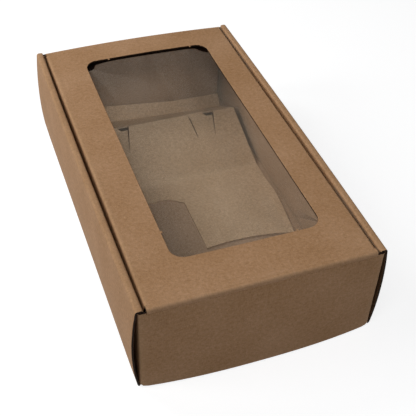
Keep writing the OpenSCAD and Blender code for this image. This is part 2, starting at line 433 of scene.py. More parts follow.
class NodeBench:
    """Adds nodes to one tree and links them."""

    def __init__(self, tree: bpy.types.NodeTree) -> None:
        """Starts on a tree."""
        self.tree = tree

    def add(self, kind: str, settings: dict | None = None, **inputs: object) -> bpy.types.Node:
        """Adds a node.

        Args:
            kind: Blender's name of the node type.
            settings: Properties of the node.
            **inputs: Values or sockets, by the socket's name with _ for a space, or in<number>.

        Returns:
            The node.
        """
        node = self.tree.nodes.new(kind)
        for key, value in (settings or {}).items():
            setattr(node, key, value)
        for key, value in inputs.items():
            socket = node.inputs[int(key[2:])] if key[:2] == "in" and key[2:].isdigit() \
                else node.inputs[key.replace("_", " ")]
            if isinstance(value, bpy.types.NodeSocket):
                self.tree.links.new(value, socket)
            else:
                socket.default_value = value
        return node

    def math(self, operation: str, a: object, b: object = 0.0) -> bpy.types.NodeSocket:
        """Result of a Math node on two values or sockets."""
        return self.add("ShaderNodeMath", {"operation": operation}, in0=a, in1=b).outputs[0]

    def times(self, a: object, b: object) -> bpy.types.NodeSocket:
        """Product of two values or sockets."""
        return self.math("MULTIPLY", a, b)

    def plus(self, a: object, b: object) -> bpy.types.NodeSocket:
        """Sum of two values or sockets."""
        return self.math("ADD", a, b)

    def axes(self, vector: object) -> bpy.types.NodeOutputs:
        """The parts X, Y and Z of a vector."""
        return self.add("ShaderNodeSeparateXYZ", None, Vector=vector).outputs

    def attribute(self, name: str, output: str = "Vector") -> bpy.types.NodeSocket:
        """One of the mesh's own attributes."""
        return self.add("ShaderNodeAttribute", {"attribute_name": name}).outputs[output]

    def relief(self, strength: float, distance: float, height: object) -> bpy.types.NodeSocket:
        """Normal that a fine relief gives, its depth in metres."""
        return self.add("ShaderNodeBump", None, Strength=strength, Distance=distance,
                        Height=height).outputs[0]

    def feed(self, node: bpy.types.Node, **sockets: bpy.types.NodeSocket) -> None:
        """Links sockets to a node's inputs, whose names have _ for a space."""
        for key, value in sockets.items():
            self.tree.links.new(value, node.inputs[key.replace("_", " ")])

    def noise(self, vector: object, scale: float, detail: float = 3.0,
              rough: float = 0.55) -> bpy.types.NodeSocket:
        """Value of a noise texture at a vector."""
        return self.add("ShaderNodeTexNoise", None, Vector=vector, Scale=scale, Detail=detail,
                        Roughness=rough).outputs["Fac"]

    def stretch(self, vector: object, scale: tuple[float, float, float],
                turn: float = 0.0) -> bpy.types.NodeSocket:
        """A vector turned in its plane and stretched."""
        return self.add("ShaderNodeMapping", None, Vector=vector, Scale=scale,
                        Rotation=(0.0, 0.0, math.radians(turn))).outputs[0]

    def span(self, value: object, low: float, high: float, to_low: float = 0.0,
             to_high: float = 1.0) -> bpy.types.NodeSocket:
        """Maps a span of a value onto another one, clamped and eased."""
        return self.add("ShaderNodeMapRange", {"interpolation_type": "SMOOTHSTEP"}, in0=value, in1=low,
                        in2=high, in3=to_low, in4=to_high).outputs[0]

    def blend(self, mode: str, share: object, a: object, b: object) -> bpy.types.NodeSocket:
        """Colour that mixes two colours or sockets."""
        node = self.add("ShaderNodeMix", {"data_type": "RGBA", "blend_type": mode})
        for socket, value in ((node.inputs[0], share), (node.inputs[6], a), (node.inputs[7], b)):
            if isinstance(value, bpy.types.NodeSocket):
                self.tree.links.new(value, socket)
            else:
                socket.default_value = value
        return node.outputs[2]


def new_material(name: str) -> tuple[bpy.types.Material, NodeBench, bpy.types.Node]:
    """Starts a material.

    Args:
        name: Name of the material.

    Returns:
        The material, a bench for its nodes and its shader.
    """
    material = bpy.data.materials.new(name)
    material.use_nodes = True
    return material, NodeBench(material.node_tree), material.node_tree.nodes["Principled BSDF"]


def group_sockets(tree: bpy.types.NodeTree, takes: dict[str, str], gives: dict[str, str]) -> None:
    """Names a group's inputs and outputs.

    Args:
        tree: The group.
        takes: Socket type of each input.
        gives: Socket type of each output.
    """
    for direction, sockets in (("INPUT", takes), ("OUTPUT", gives)):
        for name, kind in sockets.items():
            tree.interface.new_socket(name=name, in_out=direction, socket_type=kind)


class PaperGrain:
    """Node group: fibres, mottling and faint flute lines of kraft paper.

    The scales are those of noise textures on the flat blank in metres.
    """

    fine_scale = 2200.0
    fibre_scales = (1300.0, 1000.0)
    cloud_scale = 350.0
    drift_scale = 24.0
    speck_scale = 900.0
    flute_pitch = 0.0033
    strand_colour = srgb(205, 176, 138)
    speck_colour = srgb(98, 70, 46)

    def __init__(self) -> None:
        """Builds the group once."""
        self.tree = bpy.data.node_groups.new("paper_grain", "ShaderNodeTree")
        group_sockets(
            self.tree,
            {"Blank": "NodeSocketVector", "Paper": "NodeSocketColor", "Fibre": "NodeSocketFloat",
             "Mottle": "NodeSocketFloat", "Flute": "NodeSocketFloat"},
            {"Color": "NodeSocketColor", "Roughness": "NodeSocketFloat", "Height": "NodeSocketFloat"})
        bench = NodeBench(self.tree)
        came = self.tree.nodes.new("NodeGroupInput").outputs
        flat = bench.add("ShaderNodeVectorMath", {"operation": "MULTIPLY"}, in0=came["Blank"],
                         in1=(1.0, 1.0, 0.0)).outputs[0]
        fine = bench.noise(flat, self.fine_scale, 3.0, 0.65)
        fibre_a = bench.noise(bench.stretch(flat, (1.0, 0.3, 1.0), 33.0), self.fibre_scales[0], 3.0)
        fibre_b = bench.noise(bench.stretch(flat, (0.3, 1.0, 1.0), 21.0), self.fibre_scales[1], 3.0)
        cloud = bench.noise(flat, self.cloud_scale, 5.0, 0.72)
        drift = bench.noise(flat, self.drift_scale, 4.0, 0.55)
        strands = bench.times(bench.span(fibre_a, 0.52, 0.72), bench.span(fibre_b, 0.5, 0.75))
        specks = bench.span(bench.noise(flat, self.speck_scale, 1.0, 0.4), 0.69, 0.76)
        wave = bench.math("SINE", bench.times(bench.axes(flat)["X"], 2 * math.pi / self.flute_pitch))
        line = bench.times(wave, came["Flute"])
        fine_off, a_off, b_off, cloud_off, drift_off = (
            bench.math("SUBTRACT", value, 0.5) for value in (fine, fibre_a, fibre_b, cloud, drift))
        grain = bench.plus(bench.plus(fine_off, a_off), b_off)
        clouds = bench.plus(cloud_off, bench.times(drift_off, 0.7))
        tone = bench.plus(bench.times(grain, came["Fibre"]), bench.times(clouds, came["Mottle"]))
        tone = bench.plus(tone, bench.times(line, 0.05))
        paper = bench.add("ShaderNodeHueSaturation", None, Value=bench.plus(tone, 1.0), Color=came["Paper"],
                          Saturation=bench.plus(bench.times(clouds, -0.25), 1.0)).outputs[0]
        paler = bench.blend("MIX", bench.times(strands, 0.3), paper, self.strand_colour)
        colour = bench.blend("MIX", bench.times(specks, 0.35), paler, self.speck_colour)
        gone = self.tree.nodes.new("NodeGroupOutput")
        bench.feed(gone, Color=colour, Roughness=bench.span(fine, 0.3, 0.7, 0.66, 0.82),
                   Height=bench.plus(bench.times(grain, 0.35), bench.times(line, 0.5)))


@dataclass(frozen=True)
class BoardFinish:
    """Face of a kraft board."""

    name: str
    paper: Colour
    worn: Colour
    fibre: float = 0.5
    mottle: float = 0.66
    flute: float = 0.12
    wear: float = 0.4
    bump: float = 0.25
    bump_depth: float = 0.0004
    scuff_scale: float = 420.0

    def make(self, grain: PaperGrain) -> bpy.types.Material:
        """Builds the material.

        Args:
            grain: The shared paper group.

        Returns:
            The material.
        """
        material, bench, shader = new_material(self.name)
        blank = bench.attribute("blank")
        paper = bench.add("ShaderNodeGroup", {"node_tree": grain.tree}, Blank=blank, Paper=self.paper,
                          Fibre=self.fibre, Mottle=self.mottle, Flute=self.flute).outputs
        fold = bench.axes(blank)["Z"]
        scuff = bench.span(bench.noise(blank, self.scuff_scale, 4.0, 0.7), 0.36, 0.66)
        share = bench.times(bench.times(fold, scuff), self.wear)
        bench.feed(shader, Base_Color=bench.blend("MIX", share, paper["Color"], self.worn),
                   Roughness=paper["Roughness"],
                   Normal=bench.relief(self.bump, self.bump_depth, paper["Height"]))
        shader.inputs["Specular IOR Level"].default_value = 0.25
        return material


@dataclass(frozen=True)
class CutEdgeFinish:
    """Cut edge of fluted board: two liners with the wavy layer between them. Its colours carry painted light:
    the board's edge is painted near black for the shade on it and in its flutes, the insert's edge about as
    pale as its face to lift out its shade.
    """

    name: str
    liner: Colour
    gap: Colour
    pitch: float = 3.3
    bump: float = 0.5
    bump_depth: float = 0.0003

    def make(self, grain: PaperGrain) -> bpy.types.Material:
        """Builds the material.

        Args:
            grain: The shared paper group.

        Returns:
            The material.
        """
        material, bench, shader = new_material(self.name)
        blank = bench.attribute("blank")
        ply = bench.attribute("ply", "Fac")
        paper = bench.add("ShaderNodeGroup", {"node_tree": grain.tree}, Blank=blank, Paper=self.liner,
                          Fibre=0.7, Mottle=0.4, Flute=0.0).outputs
        parts = bench.axes(blank)
        run = bench.plus(parts["X"], parts["Y"])
        wave = bench.math("SINE", bench.times(run, 2 * math.pi / (self.pitch * MM)))
        off = bench.math("ABSOLUTE", bench.math("SUBTRACT", ply, bench.times(wave, 0.62)))
        medium = bench.span(off, 0.42, 0.2)
        liners = bench.span(bench.math("ABSOLUTE", ply), 0.6, 0.78)
        solid = bench.math("MAXIMUM", medium, liners)
        height = bench.plus(solid, bench.times(paper["Height"], 0.4))
        bench.feed(shader, Base_Color=bench.blend("MIX", solid, self.gap, paper["Color"]),
                   Normal=bench.relief(self.bump, self.bump_depth, height))
        shader.inputs["Roughness"].default_value = 0.9
        shader.inputs["Specular IOR Level"].default_value = 0.15
        return material


@dataclass(frozen=True)
class Fan:
    """Soft fan that runs out from a corner of the window: a painted reflection on the film.

    Attributes:
        corner: Where the fan starts, in metres.
        heading: Middle direction of the fan, in degrees.
        half: Half its spread, in degrees.
        reach: Length in metres over which it fades.
        strength: Its greatest value.
    """

    corner: Pair
    heading: float
    half: float
    reach: float
    strength: float

    def mask(self, bench: NodeBench, place: bpy.types.NodeSocket) -> bpy.types.NodeSocket:
        """The fan's value at each place.

        Args:
            bench: Adds the nodes.
            place: Object coordinates.

        Returns:
            The value's socket.
        """
        away = bench.add("ShaderNodeVectorMath", {"operation": "SUBTRACT"}, in0=place,
                         in1=(*self.corner, 0.0)).outputs[0]
        parts = bench.axes(bench.stretch(away, (1.0, 1.0, 0.0), -self.heading))
        angle = bench.math("ABSOLUTE", bench.math("ARCTAN2", parts["Y"], parts["X"]))
        wide = bench.span(angle, math.radians(self.half), math.radians(self.half * 0.55))
        near = bench.span(parts["X"], self.reach, self.reach * 0.15)
        return bench.times(bench.times(wide, near), self.strength)


@dataclass(frozen=True)
class FilmFinish:
    """Thin clear film with a light haze and soft streaks, and painted reflections: the far cut edge's dark
    reflection and shade along the far edge, a dark fan at the near-right corner and a pale fan at the
    far-left one.
    """

    name: str
    tint: Colour
    # Colour of the painted shade: the dark reflection and shadow along the far edge and at the near-right
    # corner.
    dark: Colour
    haze: float
    streak: float
    gloss: float
    pale_reflection_fan: Fan = Fan((-0.056, 0.132), -56.0, 26.0, 0.12, 0.035)
    dark_reflection_fan: Fan = Fan((0.0635, -0.1265), 131.0, 15.0, 0.034, 0.22)
    bump: float = 0.12
    bump_depth: float = 0.0006

    def make(self) -> bpy.types.Material:
        """Builds the material."""
        material, bench, shader = new_material(self.name)
        place = bench.add("ShaderNodeTexCoord").outputs["Object"]
        # The blank's z carries the painted shade of the far cut edge's dark reflection and shadow.
        shade = bench.axes(bench.attribute("blank"))["Z"]
        drift = bench.noise(place, 9.0, 3.0, 0.5)
        pulled = bench.noise(bench.stretch(place, (9.0, 1.6, 1.0), 38.0), 5.0, 3.0, 0.55)
        crossed = bench.noise(bench.stretch(place, (8.0, 1.4, 1.0), -42.0), 4.0, 3.0, 0.5)
        streaks = bench.math("MAXIMUM", bench.span(pulled, 0.5, 0.72), bench.span(crossed, 0.54, 0.76))
        alpha = bench.plus(bench.times(streaks, self.streak),
                           bench.span(drift, 0.3, 0.7, self.haze * 0.85, self.haze * 1.15))
        # Painted reflections: the pale fan raises the haze at the far-left corner, the dark fan adds painted
        # shade at the near-right one.
        alpha = bench.plus(alpha, self.pale_reflection_fan.mask(bench, place))
        shade = bench.math("MAXIMUM", shade, self.dark_reflection_fan.mask(bench, place))
        bench.feed(shader, Base_Color=bench.blend("MIX", bench.span(shade, 0.0, 0.3), self.tint, self.dark),
                   Alpha=bench.math("MAXIMUM", alpha, bench.times(shade, 0.92)),
                   Roughness=bench.span(bench.noise(place, 60.0, 4.0), 0.35, 0.65, self.gloss * 0.8,
                                        self.gloss * 1.3),
                   Normal=bench.relief(self.bump, self.bump_depth, bench.noise(place, 35.0, 2.0)))
        shader.inputs["Specular IOR Level"].default_value = 0.25
        shader.inputs["IOR"].default_value = 1.48
        return material


@dataclass
class Tray:
    """Floor, rolled-over side walls, end walls and dust flaps."""

    sizes: BoxSizes
    bow_near_left: float = 3.7
    bow_near_right: float = 3.0
    bow_far: float = 2.2
    tab_length: float = 30.0
    tab_pitch: float = 180.0
    slot_gap: float = 0.3
    dust_length: float = 75.0
    dust_taper: float = 9.0
    far_drop: float = 2.6
    strip_bow: float = 1.2
    panel_bow: float = 5.8
    panel_bow_power: float = 2.4
    floor_bow_start: float = 120.0
    floor_bow_run: float = 45.0
    corner_lift: float = 1.8
    corner_reach: float = 9.0
    corner_start: float = 24.0
    corner_run: float = 20.0
    corner_height: float = 16.0
    wave: Wave = Wave(0.5, 70.0, 3.1)
    step: float = 9.0

    def end_bulge(self, x: float, y: float, height: float) -> float:
        """How far the near wall's foot, and the floor that runs into it, stand out at a place."""
        if y > -self.floor_bow_start:
            return 0.0
        across = max(0.0, 1 - abs(x / (self.sizes.panel / 2)) ** self.panel_bow_power)
        rise = 1 - min(height / self.sizes.seam_wall, 1.0) ** 2
        return -self.panel_bow * across * rise * smooth((-self.floor_bow_start - y) / self.floor_bow_run)

    def corner_rise(self, x: float, y: float, height: float) -> float:
        """How far the foot of the box is pushed up at its corners."""
        at_end = smooth((abs(y) - self.sizes.end + self.corner_start) / self.corner_run)
        at_side = smooth((abs(x) - self.sizes.outer + self.corner_reach) / self.corner_reach)
        return self.corner_lift * at_end * at_side * max(0.0, 1 - height / self.corner_height)

    def bow(self, x: float, y: float) -> float:
        """Bulge of the side walls' outer layer at a place along the box."""
        share = (y + self.sizes.end) / self.sizes.length
        near = self.bow_near_left if x < 0 else self.bow_near_right
        return near + (self.bow_far - near) * share

    def rolled_walls(self) -> bmesh.types.BMesh:
        """Floor and both side walls, rolled over at the top and locked into the floor."""
        z = self.sizes
        inner, outer, low = z.inner + z.half, z.outer - z.half, z.half
        tab_foot = z.layer_gap
        path = FoldedPath([(inner, tab_foot), (inner, z.top), (outer, z.top), (outer, low), (-outer, low),
                           (-outer, z.top), (-inner, z.top), (-inner, tab_foot)], z.fold)
        wall_foot = z.board + z.layer_gap
        rise = wall_foot - tab_foot
        slot_lines = [z.inner - self.slot_gap, z.inner + z.board + self.slot_gap]
        floor_start = path.length / 2
        along = path.stations() + [rise, path.length - rise]
        along += [floor_start + side * x for x in slot_lines for side in (-1, 1)]
        ends = z.end - z.half
        floor_end = z.end - z.fold - z.half
        tabs = [side * self.tab_pitch / 2 + edge * (self.tab_length / 2 + gap)
                for side in (-1, 1) for edge in (-1, 1) for gap in (0.0, self.slot_gap)]
        across = spread([-ends, ends, -floor_end, floor_end] + tabs, self.step)

        def place(y: float, s: float) -> Vector:
            """Folded place of a point of the blank."""
            p = path.at(s)
            x, height = p.x, p.y
            if abs(x) > z.panel / 2:
                share = (z.top - height) / (z.top - low)
                bulge = self.bow(x, y) * max(0.0, 1 - (2 * share - 1) ** 2)
                bulge += smooth(4 * share * (1 - share)) * self.wave.at(x, y, height)
                x += math.copysign(bulge, x)
            if abs(x) > z.inner - z.half:
                spring = self.strip_bow * max(0.0, 1 - (2 * y / z.length) ** 2) * height / z.height
                x += math.copysign(spring, x)
            else:
                y += self.end_bulge(x, y, height)
            height += self.corner_rise(x, y, height)
            return Vector((x, y, height))

        def in_tab(y: float, gap: float) -> bool:
            """Tells whether a place along the wall is at a locking tab or its slot."""
            return abs(abs(y) - self.tab_pitch / 2) < self.tab_length / 2 + gap

        def inside(y: float, s: float) -> bool:
            """Tells what stays of the blank."""
            if s < rise or s > path.length - rise:
                return in_tab(y, 0.0)
            p = path.at(s)
            if abs(y) > floor_end and abs(p.x) < z.panel / 2 and p.y < z.top - z.half:
                return False
            on_floor = p.y < z.board and abs(p.x) < z.panel / 2
            in_slot = slot_lines[0] < abs(p.x) < slot_lines[1]
            return not (on_floor and in_slot and in_tab(y, self.slot_gap))

        sheet = Sheet(across, spread(along, self.step), place, z.board,
                      wear=lambda u, s: path.crease(s), inner_ply=1.0)
        bm = sheet.grid()
        sheet.keep(bm, inside)
        sheet.thicken(bm, lambda co: abs(abs(co.y) - floor_end) < AT_SEAM and co.z < z.floor_seam)
        wall_top = z.top - z.fold - z.half
        for face in bm.faces:
            at = face.calc_center_median()
            in_box = abs(at.x) < z.inner + z.half and z.board < at.z < wall_top
            # Inside each side wall's hollow the outer layer's inner face gets painted shade.
            if face.material_index == Ply.INNER and abs(at.x) > z.panel / 2:
                face.material_index = Ply.HOLLOW_PAINTED_SHADE
            elif face.material_index == Ply.OUTER and in_box:
                face.material_index = Ply.INNER
        return bm

    def end_wall(self, side: Side) -> bmesh.types.BMesh:
        """End wall with its bottom fold, its shoulders and both dust flaps.

        Args:
            side: Which end it closes.

        Returns:
            The finished sheet.
        """
        z = self.sizes
        mid_y = z.end - z.half
        flap_x = z.panel / 2 - z.half
        flap_end = z.end - self.dust_length
        plan = FoldedPath([(-flap_x, flap_end), (-flap_x, mid_y), (flap_x, mid_y), (flap_x, flap_end)],
                          z.fold)
        rise = FoldedPath([(z.end - z.fold - z.half, z.half), (mid_y, z.half), (mid_y, z.height)], z.fold)
        middle = plan.length / 2
        panel_half = z.panel / 2 - z.fold - z.half
        corner_half = flap_x - z.fold
        low = z.fold + z.half + z.layer_gap
        bend = rise.radius * math.pi / 2
        top_of = {Side.NEAR: z.seam_wall, Side.FAR: z.height - self.far_drop}[side]

        def height_to_s(height: float) -> float:
            """Distance along the wall's section at a height."""
            return bend + height - z.half - z.fold

        across = spread(plan.stations() + [middle + k * x for x in (z.lid, panel_half, corner_half)
                                           for k in (-1, 1)], self.step)
        heights = [low, z.shoulder, top_of]
        stations = [v for v in rise.stations() if v < rise.length]
        along = spread(stations + [height_to_s(h) for h in heights], self.step)
        along = [v for v in along if v <= height_to_s(max(heights)) + 1e-4]

        def place(u: float, s: float) -> Vector:
            """Folded place of a point of the blank."""
            p, q = plan.at(u), rise.at(s)
            into = max(0.0, mid_y - z.fold - p.y)
            height = q.y
            if into > 0:
                share = (height - low) / (z.shoulder - low)
                taper = self.dust_taper * into / self.dust_length
                height += taper * (1 - 2 * share)
            y = side.value * (p.y + q.x - mid_y)
            if into <= 0:
                height += self.corner_rise(p.x, y, height)
                y += self.end_bulge(p.x, y, height)
            return Vector((p.x, y, height))

        def inside(u: float, s: float) -> bool:
            """Tells what stays of the blank."""
            x, height = abs(u - middle), rise.at(s).y
            if x < z.lid:
                return height < top_of
            if x < panel_half:
                return height < z.shoulder
            return low < height < z.shoulder and s > bend

        def joined(co: Vector) -> bool:
            """Tells the edges where the floor or the crease carries on."""
            at_floor = abs(abs(co.y) - (z.end - z.fold - z.half)) < AT_SEAM and co.z < z.floor_seam
            at_crease = side is Side.NEAR and abs(co.z - top_of) < AT_SEAM
            return at_floor or at_crease

        sheet = Sheet(across, along, place, z.board, offset=(1.3 + 0.5 * side.value, 0.4),
                      wear=lambda u, s: max(plan.crease(u), rise.crease(s)),
                      inner_ply=float(side.value))
        bm = sheet.grid()
        sheet.keep(bm, inside)
        sheet.thicken(bm, joined)
        return bm

    def build(self, board: Sequence[bpy.types.Material]) -> bpy.types.Object:
        """Builds the tray from the finishes of the outer face, the edge, the inner face and the painted shade
        inside the hollow.
        """
        parts = [self.rolled_walls(), self.end_wall(Side.NEAR), self.end_wall(Side.FAR)]
        tray = finish_piece("tray_board", parts, board)
        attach(tray, "box")
        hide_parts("tray")
        return tray


@dataclass
class Window:
    """Rounded opening in the lid."""

    left: float
    right: float
    near: float
    far: float
    radius: float
    facets: int = 7

    def gap(self, x: float, y: float) -> float:
        """Signed distance from the opening's edge, below zero inside."""
        cx, cy = (self.left + self.right) / 2, (self.near + self.far) / 2
        qx = abs(x - cx) - (self.right - self.left) / 2 + self.radius
        qy = abs(y - cy) - (self.far - self.near) / 2 + self.radius
        return math.hypot(max(qx, 0.0), max(qy, 0.0)) + min(max(qx, qy), 0.0) - self.radius

    def lines(self) -> tuple[list[float], list[float]]:
        """Grid lines along X and Y whose crossings lie on the rounded corners."""
        r = self.radius
        steps = [math.pi / 2 * k / self.facets for k in range(self.facets + 1)]
        dx = [r - r * math.cos(a) for a in steps]
        dy = [r - r * math.sin(a) for a in steps]
        xs = [self.left + d for d in dx] + [self.right - d for d in dx]
        ys = [self.near + d for d in dy] + [self.far - d for d in dy]
        return xs, ys

    def cut(self, bm: bmesh.types.BMesh, to_plan: Callable[[Vector], Pair], edge_of: float) -> None:
        """Cuts the opening into a flat grid.

        Args:
            bm: The sheet, still flat at the window.
            to_plan: Gives a blank point's place in plan.
            edge_of: Greatest place along the blank that can belong to the window.
        """
        blank = bm.verts.layers.float_vector["blank"]
        for face in bm.faces[:]:
            if any(v[blank].y > edge_of for v in face.verts):
                continue
            on = [v for v in face.verts if abs(self.gap(*to_plan(v[blank]))) < ON_LINE]
            if len(on) == 2 and not any(set(on) == set(e.verts) for e in face.edges):
                bmesh.utils.face_split(face, on[0], on[1])
        waste = []
        for face in bm.faces:
            middle = blank_middle(face, blank)
            if middle.y < edge_of and self.gap(*to_plan(middle)) < 0:
                waste.append(face)
        bmesh.ops.delete(bm, geom=waste, context="FACES")


@dataclass
class Lid:
    """Lid panel with its window, side flaps and tuck flap, and the crease that joins it to the tray.

    Lengths are in millimetres, the lean is in degrees and the paper's offset in metres.
    """

    sizes: BoxSizes
    swing_gap: float = 0.3
    tuck_lift: float = 6.6
    tuck_lean: float = 0.4
    tuck_inset: float = 2.0
    tuck_radius: float = 12.0
    wing_depth: float = 32.0
    wing_inset: float = 2.8
    wing_taper: float = 14.0
    wing_spring: float = 0.8
    far_arch: float = 2.2
    arch_run: float = 70.0
    dip: float = 0.25
    flat_run: float = 40.0
    wave: Wave = Wave(0.5, 90.0, 7.7)
    tuck_facets: int = 8
    tuck_bow: float = 0.9
    tuck_flat_run: float = 30.0
    paper_offset: Pair = (-1.1, 0.9)
    nick_size: tuple[float, float, float] = (1.5, 2.2, 0.5)
    nicks_far: Pair = (-33.9, 47.4)
    nick_near: float = 41.8
    nick_left: float = -100.0
    border_left: float = 31.9
    border_right: float = 26.3
    border_near: float = 40.0
    border_far: float = 29.0
    window_radius: float = 11.0
    film_margin: float = 10.0
    film_thickness: float = 0.2
    film_gap: float = 0.06
    film_step: float = 4.0
    slack: float = 0.9
    slack_run: float = 30.0
    wrinkle: Wave = Wave(0.35, 38.0, 2.3)
    crease_step: float = 1.2
    shade_wide: float = 1.2
    shade_left: float = 4.2
    shade_right: float = 3.2
    loose_far: float = 0.5
    loose_left: float = 2.2
    loose_right: float = 1.4
    loose_run: float = 16.0
    loose_width_left: float = 26.0
    loose_width_right: float = 20.0
    shade_soft: float = 0.4
    step: float = 8.0

    @property
    def end_y(self) -> float:
        """Place of the tuck flap's outer face at the top."""
        return self.sizes.end - self.sizes.board - self.swing_gap

    @property
    def lean(self) -> float:
        """Lean of the tuck flap, in radians."""
        depth = self.sizes.height - self.sizes.board - self.tuck_lift
        return math.asin(depth / (self.end_y + self.sizes.end)) / 2 + math.radians(self.tuck_lean)

    @property
    def tuck_length(self) -> float:
        """Length of the tuck flap."""
        return (self.sizes.height - self.sizes.board - self.tuck_lift) / math.cos(self.lean)

    @property
    def window(self) -> Window:
        """The opening."""
        return Window(-self.sizes.lid + self.border_left, self.sizes.lid - self.border_right,
                      -self.sizes.end + self.border_near, self.end_y - self.border_far, self.window_radius)

    @property
    def wing_ends(self) -> Pair:
        """Places along Y where the side flaps start and end."""
        bend = self.sizes.fold + self.sizes.half
        return -self.sizes.end + bend + self.wing_inset, self.end_y - bend - self.wing_inset

    @property
    def flat_half(self) -> float:
        """Distance from the middle to where the lid's panel hands over to a side flap's fold."""
        return self.sizes.lid - 2 * (self.sizes.fold + self.sizes.half)

    def sag(self, x: float, y: float) -> float:
        """How far the lid panel lies off its plane."""
        across = 1 - (x / self.sizes.lid) ** 2
        edge = smooth((self.sizes.end - abs(y)) / self.flat_run)
        arch = self.far_arch * across * smooth((y - self.sizes.end / 2) / self.arch_run)
        return edge * (self.wave.at(x, y) - self.dip * across) + arch

    def at_wing(self, co: Vector) -> bool:
        """Tells the edges where the lid's panel carries on into a side flap."""
        near, far = self.wing_ends
        bend = self.flat_half + self.sizes.fold + self.sizes.half
        at_side = abs(abs(co.x) - self.flat_half) < 0.05 and near - 0.05 < co.y < far + 0.05
        in_fold = self.flat_half - 0.05 < abs(co.x) < bend + 0.05
        return at_side or in_fold and min(abs(co.y - near), abs(co.y - far)) < 0.05

    def wing(self, side: int, rows: Sequence[float]) -> bmesh.types.BMesh:
        """Flap that folds down from one long edge of the lid, inside the side wall.

        Args:
            side: -1 for the left edge, 1 for the right one.
            rows: Stations of the lid's panel, so that both sheets meet point to point.

        Returns:
            The finished sheet.
        """
        z = self.sizes
        edge = z.lid - z.half
        foot = z.height - self.wing_depth
        path = FoldedPath([(self.flat_half, z.top), (edge, z.top), (edge, foot)], z.fold)
        near, far = self.wing_ends
        centre, half_length = (near + far) / 2, (far - near) / 2
        shoulder = z.height - z.board - z.fold - z.half

        def place(u: float, s: float) -> Vector:
            """Folded place of a point of the blank."""
            p = path.at(max(abs(u) - self.flat_half, 0.0))
            down = max(0.0, (shoulder - p.y) / (shoulder - foot))
            y = s + z.seam_lid
            lift = self.sag(p.x, y)
            y = centre + (y - centre) * (1 - self.wing_taper * down / half_length)
            return Vector((side * (p.x + self.wing_spring * down ** 2), y, p.y + lift))

        across = [side * (self.flat_half + d) for d in spread(path.stations(), self.step)]
        along = [s for s in rows if near - 0.01 < s + z.seam_lid < far + 0.01]
        sheet = Sheet(sorted(across), along, place, z.board, offset=self.paper_offset,
                      wear=lambda u, s: 0.8 * path.crease(abs(u) - self.flat_half), inner_ply=-1.0)
        bm = sheet.grid()
        sheet.thicken(bm, self.at_wing)
        return bm

    def nicks(self) -> bmesh.types.BMesh:
        """Stubs of the little bridges that held the window's waste until it was pushed out."""
        window = self.window
        bm = bmesh.new()
        spots = [(x, window.far - 0.9) for x in self.nicks_far]
        spots += [(self.nick_near, window.near + 0.6), (window.left + 0.5, self.nick_left)]
        for x, y in spots:
            made = bmesh.ops.create_cube(bm, size=1.0)["verts"]
            bmesh.ops.scale(bm, vec=self.nick_size, verts=made)
            bmesh.ops.translate(bm, vec=(x, y, self.sizes.height - 0.2 + self.sag(x, y)), verts=made)
        bmesh.ops.bevel(bm, geom=bm.edges[:], offset=0.15, segments=1, profile=0.5, affect="EDGES",
                        material=-1)
        return bm

    def panel(self) -> list[bmesh.types.BMesh]:
        """Lid panel and tuck flap as one folded sheet, then the two side flaps."""
        z = self.sizes
        half = z.half
        corner_y = self.end_y - half * (1 + math.sin(self.lean)) / math.cos(self.lean)
        drop = self.tuck_length - half
        tip = (corner_y - drop * math.sin(self.lean), z.top - drop * math.cos(self.lean))
        path = FoldedPath([(z.seam_lid, z.top), (corner_y, z.top), tip], z.fold)
        flap_start = path.pieces[-1][1]
        window = self.window
        near, far = self.wing_ends
        turn = z.lid - z.fold - z.half
        xs, ys = window.lines()
        across = spread([side * x for x in (z.lid, turn, self.flat_half) for side in (-1, 1)] + xs, self.step)
        rounding = [path.length - self.tuck_radius * (1 - math.sin(math.pi / 2 * k / self.tuck_facets))
                    for k in range(self.tuck_facets + 1)]
        along = spread(path.stations() + [y - z.seam_lid for y in ys + [near, far]] + rounding, self.step)

        def half_width(s: float) -> float:
            """Half the sheet's width at a distance along it."""
            if s <= flap_start - 0.5 * z.fold:
                return z.lid
            wide = z.lid - self.tuck_inset * smooth((s - flap_start + 0.5 * z.fold) / 1.5)
            into = s - (path.length - self.tuck_radius)
            if into > 0:
                wide -= self.tuck_radius - math.sqrt(max(self.tuck_radius ** 2 - into ** 2, 0.0))
            return wide

        def place(u: float, s: float) -> Vector:
            """Folded place of a point of the blank."""
            p = path.at(s)
            x = u * half_width(s) / z.lid
            if s < flap_start:
                return Vector((x, p.x, p.y + self.sag(x, p.x)))
            lift = self.sag(x, corner_y) * max(0.0, 1 - (s - flap_start) / self.tuck_flat_run)
            down = (s - flap_start) / (path.length - flap_start)
            bend = -self.tuck_bow * math.sin(math.pi * down) * (1 - (u / z.lid) ** 2)
            return Vector((x, p.x + bend, p.y + lift))

        sheet = Sheet(across, along, place, z.board, offset=self.paper_offset,
                      wear=lambda u, s: path.crease(s), inner_ply=-1.0)
        bm = sheet.grid()
        sheet.keep(bm, lambda u, s: abs(u) < self.flat_half or not near < s + z.seam_lid < far)
        window.cut(bm, lambda b: (b.x, b.y + z.seam_lid), window.far - z.seam_lid + 1)
        sheet.thicken(bm, lambda co: abs(co.y - z.seam_lid) < AT_SEAM or self.at_wing(co))
        return [bm] + [self.wing(side, along) for side in (-1, 1)]

